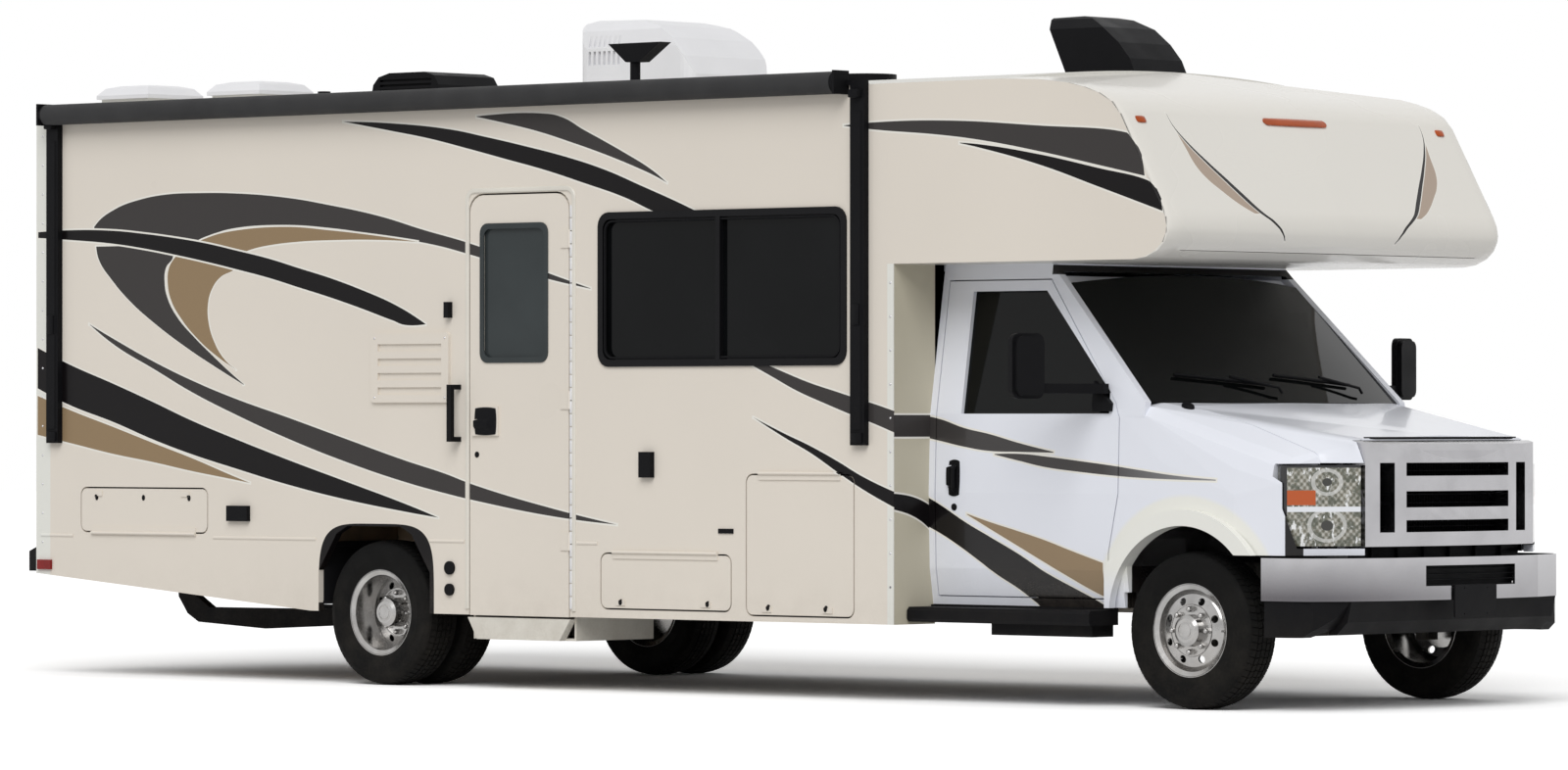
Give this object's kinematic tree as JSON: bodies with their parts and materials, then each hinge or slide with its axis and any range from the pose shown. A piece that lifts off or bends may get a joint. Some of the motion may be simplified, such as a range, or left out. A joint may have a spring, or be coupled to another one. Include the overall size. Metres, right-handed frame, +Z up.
{
  "type": "motorhome",
  "caption": "Cab-over motorhome on a van chassis: hollow cab and coach body, twin rear wheels, steering front wheels, opening doors, hood, lockers and roof vents.",
  "frame": {"origin": "on the ground under the middle of the vehicle", "axes": "+X forwards, +Y to the vehicle's left, +Z up"},
  "size_m": [8.64, 3.0742, 3.397],
  "materials": {
    "frame_steel": "matt",
    "engine_iron": "matt",
    "tank_plastic": "matt",
    "axle_iron": "matt",
    "wheel_steel": "polished",
    "tyre": "matt",
    "floor_wood": "matt",
    "coach_skin": "gloss",
    "roof_skin": "satin",
    "black_trim": "satin",
    "dark_glass": "tinted",
    "cab_glass": "tinted",
    "step_plastic": "satin",
    "lamp_red": "clear",
    "cover_white": "satin",
    "cab_paint": "gloss",
    "chrome": "polished",
    "lamp_clear": "clear",
    "cloth": "woven"
  },
  "bodies": {
    "body": {"chassis_frame": "frame_steel", "engine_block": "engine_iron", "underbody": "tank_plastic", "front_axle": "axle_iron", "rear_axle": "axle_iron", "coach_floor": "floor_wood", "lockers": "tank_plastic", "right_wall": "coach_skin", "left_wall": "coach_skin", "end_walls": "coach_skin", "coach_roof": "roof_skin", "front_cap": "coach_skin", "window_frames": "black_trim", "coach_glass": "dark_glass", "entry_step": "step_plastic", "fridge_vent": "coach_skin", "side_fittings": "black_trim", "lamps": "lamp_red", "awning": "black_trim", "ac_unit": "cover_white", "roof_fittings": "black_trim", "cab_body": "cab_paint", "windscreen": "cab_glass", "grille": "chrome", "headlamps": "lamp_clear", "front_bumper": "chrome", "front_trim": "black_trim", "running_boards": "black_trim", "cab_interior": "cloth"},
    "knuckle_right": {"knuckle_right": "axle_iron"},
    "knuckle_left": {"knuckle_left": "axle_iron"},
    "front_wheel_right": {"rim_front_right": "wheel_steel", "tyre_front_right": "tyre"},
    "front_wheel_left": {"rim_front_left": "wheel_steel", "tyre_front_left": "tyre"},
    "rear_wheels_right": {"rims_rear_right": "wheel_steel", "tyres_rear_right": "tyre"},
    "rear_wheels_left": {"rims_rear_left": "wheel_steel", "tyres_rear_left": "tyre"},
    "entry_door": {"entry_door": "coach_skin", "entry_glass": "dark_glass"},
    "hatch_rear": {"hatch_rear": "coach_skin"},
    "hatch_mid": {"hatch_mid": "coach_skin"},
    "hatch_front": {"hatch_front": "coach_skin"},
    "hatch_left": {"hatch_left": "coach_skin"},
    "vent_lid_rear": {"vent_lid_rear": "cover_white"},
    "vent_lid_front": {"vent_lid_front": "cover_white"},
    "hood": {"hood": "cab_paint"},
    "cab_door_right": {"cab_door_right": "cab_paint", "door_glass_right": "cab_glass", "mirror_right": "black_trim"},
    "cab_door_left": {"cab_door_left": "cab_paint", "door_glass_left": "cab_glass", "mirror_left": "black_trim"},
    "steering_wheel": {"steering_wheel": "black_trim"}
  },
  "joints": [
    {"name": "steer_right", "type": "hinge", "parent": "body", "child": "knuckle_right", "pos_m": [3.4, -0.8, 0.368], "axis": [0, 0, 1], "range_deg": [-35, 35]},
    {"name": "steer_left", "type": "hinge", "parent": "body", "child": "knuckle_left", "pos_m": [3.4, 0.8, 0.368], "axis": [0, 0, 1], "range_deg": [-35, 35]},
    {"name": "front_wheel_right_spin", "type": "hinge", "parent": "knuckle_right", "child": "front_wheel_right", "pos_m": [3.4, -0.8815, 0.368], "axis": [0, 1, 0], "continuous": true},
    {"name": "front_wheel_left_spin", "type": "hinge", "parent": "knuckle_left", "child": "front_wheel_left", "pos_m": [3.4, 0.8815, 0.368], "axis": [0, 1, 0], "continuous": true},
    {"name": "rear_wheels_right_spin", "type": "hinge", "parent": "body", "child": "rear_wheels_right", "pos_m": [-1.68, -0.988, 0.368], "axis": [0, 1, 0], "continuous": true},
    {"name": "rear_wheels_left_spin", "type": "hinge", "parent": "body", "child": "rear_wheels_left", "pos_m": [-1.68, 0.988, 0.368], "axis": [0, 1, 0], "continuous": true},
    {"name": "steering_wheel_turn", "type": "hinge", "parent": "body", "child": "steering_wheel", "pos_m": [2.684, 0.6, 1.385], "axis": [-0.766, 0, 0.6428], "range_deg": [-540, 540]},
    {"name": "entry_door_hinge", "type": "hinge", "parent": "body", "child": "entry_door", "pos_m": [-0.3, -1.2783, 1.4], "axis": [0, 0, 1], "range_deg": [0, 100]},
    {"name": "hatch_rear_hinge", "type": "hinge", "parent": "body", "child": "hatch_rear", "pos_m": [-3.386, -1.2783, 0.753], "axis": [1, 0, 0], "range_deg": [0, 95]},
    {"name": "hatch_mid_hinge", "type": "hinge", "parent": "body", "child": "hatch_mid", "pos_m": [0.3435, -1.2783, 0.696], "axis": [-1, 0, 0], "range_deg": [0, 110]},
    {"name": "hatch_front_hinge", "type": "hinge", "parent": "body", "child": "hatch_front", "pos_m": [1.2265, -1.2783, 1.089], "axis": [-1, 0, 0], "range_deg": [0, 100]},
    {"name": "hatch_left_hinge", "type": "hinge", "parent": "body", "child": "hatch_left", "pos_m": [0.3435, 1.2783, 0.696], "axis": [1, 0, 0], "range_deg": [0, 110]},
    {"name": "vent_lid_rear_hinge", "type": "hinge", "parent": "body", "child": "vent_lid_rear", "pos_m": [-3.645, -0.8, 3.05059], "axis": [0, 1, 0], "range_deg": [0, 60]},
    {"name": "vent_lid_front_hinge", "type": "hinge", "parent": "body", "child": "vent_lid_front", "pos_m": [-3.217, -0.4, 3.07288], "axis": [0, 1, 0], "range_deg": [0, 60]},
    {"name": "hood_hinge", "type": "hinge", "parent": "body", "child": "hood", "pos_m": [3.255, 0, 1.425], "axis": [0, -1, 0], "range_deg": [0, 50]},
    {"name": "cab_door_right_hinge", "type": "hinge", "parent": "body", "child": "cab_door_right", "pos_m": [2.997, -1.018, 1.2], "axis": [0, 0, 1], "range_deg": [0, 70]},
    {"name": "cab_door_left_hinge", "type": "hinge", "parent": "body", "child": "cab_door_left", "pos_m": [2.997, 1.018, 1.2], "axis": [0, 0, -1], "range_deg": [0, 70]}
  ],
  "couplings": [
    {"joint": "steer_left", "follows": "steer_right", "ratio": 1},
    {"joint": "steering_wheel_turn", "follows": "steer_right", "ratio": 15.4}
  ]
}
